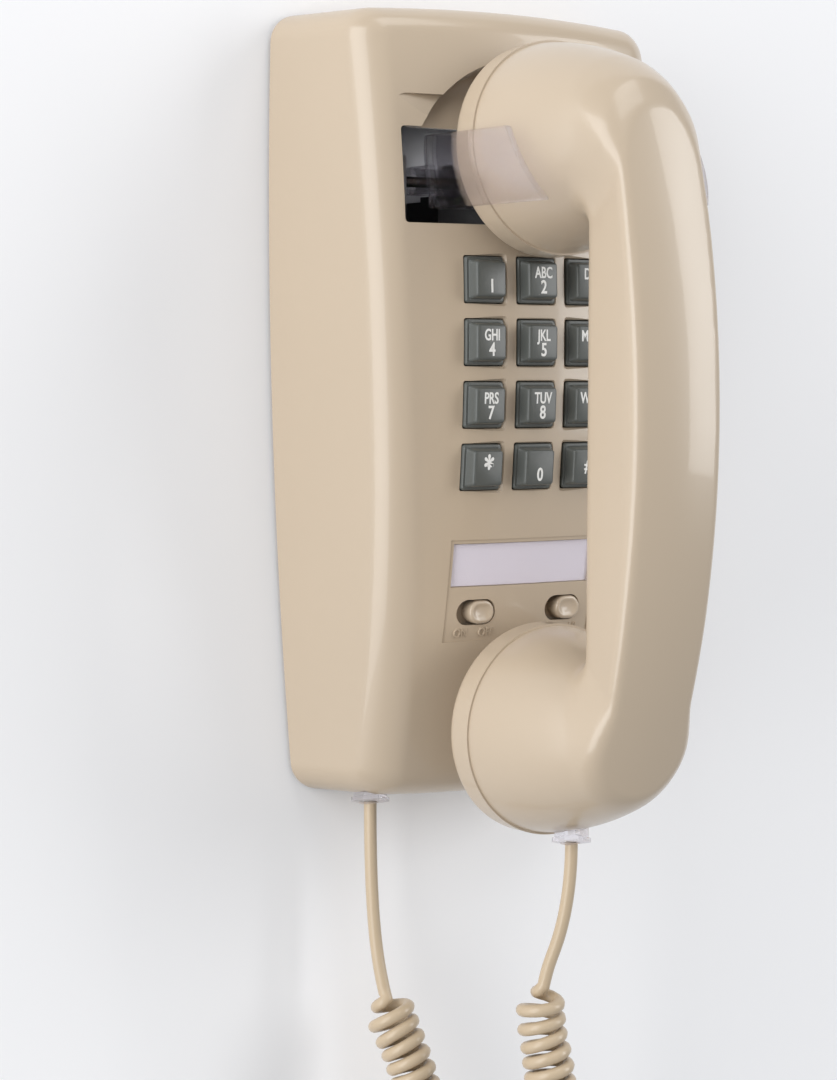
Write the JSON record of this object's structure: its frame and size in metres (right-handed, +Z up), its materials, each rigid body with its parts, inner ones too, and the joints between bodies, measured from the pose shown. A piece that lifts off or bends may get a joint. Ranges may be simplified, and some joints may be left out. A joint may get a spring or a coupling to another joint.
{
  "type": "corded landline phone",
  "caption": "Wall telephone with a bowed housing, twelve sprung keys, a clear sprung hook, a lift-off handset and a hanging curly cord.",
  "frame": {"origin": "middle of the rear face of the base plate, where it meets the wall", "axes": "+Y into the wall, +Z up, +X to the right of someone facing the telephone"},
  "size_m": [0.1254, 0.115, 0.3917],
  "materials": {
    "beige_plastic": "satin moulded",
    "zinc_steel": "zinc plated",
    "bright_steel": "bright plated",
    "grey_key_plastic": "satin moulded",
    "black_plastic": "moulded",
    "circuit_board": "laminate",
    "mat_rubber": "silicone",
    "component_case": "moulded",
    "white_card": "paper",
    "clear_plastic": "polished clear",
    "gong_brass": "plated",
    "capsule_metal": "spun",
    "cord_sleeve": "satin"
  },
  "bodies": {
    "housing": {"base_plate": "zinc_steel", "front_cover": "beige_plastic", "cover_screws": "bright_steel", "line_plug": "clear_plastic", "keypad_frame": "black_plastic", "keypad_board": "circuit_board", "dome_mat": "mat_rubber", "board_posts": "black_plastic", "board_screws": "bright_steel", "main_board": "circuit_board", "line_transformer": "component_case", "capacitors": "component_case", "label_card": "white_card", "label_window": "clear_plastic", "ringer_switch": "black_plastic", "volume_switch": "black_plastic", "hook_bracket": "zinc_steel", "hook_pin": "bright_steel", "hook_spring": "bright_steel", "hook_switch": "black_plastic", "ringer_bracket": "zinc_steel", "gong_left": "gong_brass", "gong_right": "gong_brass", "gong_screws": "bright_steel", "ringer_coil": "component_case", "cord_plug_base": "clear_plastic", "base_jack": "black_plastic", "cord_tail_base": "cord_sleeve", "cord_coil": "cord_sleeve", "cord_tail_handset": "cord_sleeve"},
    "handset": {"handset_shell": "beige_plastic", "receiver_cap": "beige_plastic", "transmitter_cap": "beige_plastic", "receiver_capsule": "capsule_metal", "transmitter_capsule": "capsule_metal", "transmitter_cup": "black_plastic", "handset_jack": "black_plastic", "cord_plug_handset": "clear_plastic"},
    "hook": {"hook": "clear_plastic"},
    "clapper": {"clapper": "bright_steel"},
    "ringer_slider": {"ringer_slider": "beige_plastic"},
    "volume_slider": {"volume_slider": "beige_plastic"},
    "key_1": {"key_1": "grey_key_plastic"},
    "key_2": {"key_2": "grey_key_plastic"},
    "key_3": {"key_3": "grey_key_plastic"},
    "key_4": {"key_4": "grey_key_plastic"},
    "key_5": {"key_5": "grey_key_plastic"},
    "key_6": {"key_6": "grey_key_plastic"},
    "key_7": {"key_7": "grey_key_plastic"},
    "key_8": {"key_8": "grey_key_plastic"},
    "key_9": {"key_9": "grey_key_plastic"},
    "key_star": {"key_star": "grey_key_plastic"},
    "key_0": {"key_0": "grey_key_plastic"},
    "key_hash": {"key_hash": "grey_key_plastic"}
  },
  "joints": [
    {"name": "handset_lift", "type": "slide", "parent": "housing", "child": "handset", "axis": [0, -0.342, 0.9397], "range_m": [0, 0.1]},
    {"name": "hook_swing", "type": "hinge", "parent": "housing", "child": "hook", "pos_m": [0, -0.024, 0.066], "axis": [-1, 0, 0], "range_deg": [0, 7], "stiffness_Nm_per_rad": 0.1, "springref_deg": 17.19, "deforming": ["hook_spring"]},
    {"name": "clapper_swing", "type": "hinge", "parent": "housing", "child": "clapper", "pos_m": [0, -0.016, -0.054], "axis": [0, 1, 0], "range_deg": [-6, 6], "stiffness_Nm_per_rad": 0.01},
    {"name": "ringer_slide", "type": "slide", "parent": "housing", "child": "ringer_slider", "axis": [1, 0, 0], "range_m": [-0.004, 0]},
    {"name": "volume_slide", "type": "slide", "parent": "housing", "child": "volume_slider", "axis": [1, 0, 0], "range_m": [-0.004, 0]},
    {"name": "key_1_press", "type": "slide", "parent": "housing", "child": "key_1", "axis": [0, 0.9994, -0.0347], "range_m": [0, 0.0025], "stiffness_N_per_m": 240, "springref_m": -0.0015},
    {"name": "key_2_press", "type": "slide", "parent": "housing", "child": "key_2", "axis": [0, 0.9994, -0.0347], "range_m": [0, 0.0025], "stiffness_N_per_m": 240, "springref_m": -0.0015},
    {"name": "key_3_press", "type": "slide", "parent": "housing", "child": "key_3", "axis": [0, 0.9994, -0.0347], "range_m": [0, 0.0025], "stiffness_N_per_m": 240, "springref_m": -0.0015},
    {"name": "key_4_press", "type": "slide", "parent": "housing", "child": "key_4", "axis": [0, 1, 0.003], "range_m": [0, 0.0025], "stiffness_N_per_m": 240, "springref_m": -0.0015},
    {"name": "key_5_press", "type": "slide", "parent": "housing", "child": "key_5", "axis": [0, 1, 0.003], "range_m": [0, 0.0025], "stiffness_N_per_m": 240, "springref_m": -0.0015},
    {"name": "key_6_press", "type": "slide", "parent": "housing", "child": "key_6", "axis": [0, 1, 0.003], "range_m": [0, 0.0025], "stiffness_N_per_m": 240, "springref_m": -0.0015},
    {"name": "key_7_press", "type": "slide", "parent": "housing", "child": "key_7", "axis": [0, 0.9992, 0.0407], "range_m": [0, 0.0025], "stiffness_N_per_m": 240, "springref_m": -0.0015},
    {"name": "key_8_press", "type": "slide", "parent": "housing", "child": "key_8", "axis": [0, 0.9992, 0.0407], "range_m": [0, 0.0025], "stiffness_N_per_m": 240, "springref_m": -0.0015},
    {"name": "key_9_press", "type": "slide", "parent": "housing", "child": "key_9", "axis": [0, 0.9992, 0.0407], "range_m": [0, 0.0025], "stiffness_N_per_m": 240, "springref_m": -0.0015},
    {"name": "key_star_press", "type": "slide", "parent": "housing", "child": "key_star", "axis": [0, 0.9969, 0.0784], "range_m": [0, 0.0025], "stiffness_N_per_m": 240, "springref_m": -0.0015},
    {"name": "key_0_press", "type": "slide", "parent": "housing", "child": "key_0", "axis": [0, 0.9969, 0.0784], "range_m": [0, 0.0025], "stiffness_N_per_m": 240, "springref_m": -0.0015},
    {"name": "key_hash_press", "type": "slide", "parent": "housing", "child": "key_hash", "axis": [0, 0.9969, 0.0784], "range_m": [0, 0.0025], "stiffness_N_per_m": 240, "springref_m": -0.0015}
  ],
  "couplings": [
    {"joint": "hook_swing", "follows": "handset_lift", "rad_per_m": 1.2}
  ]
}
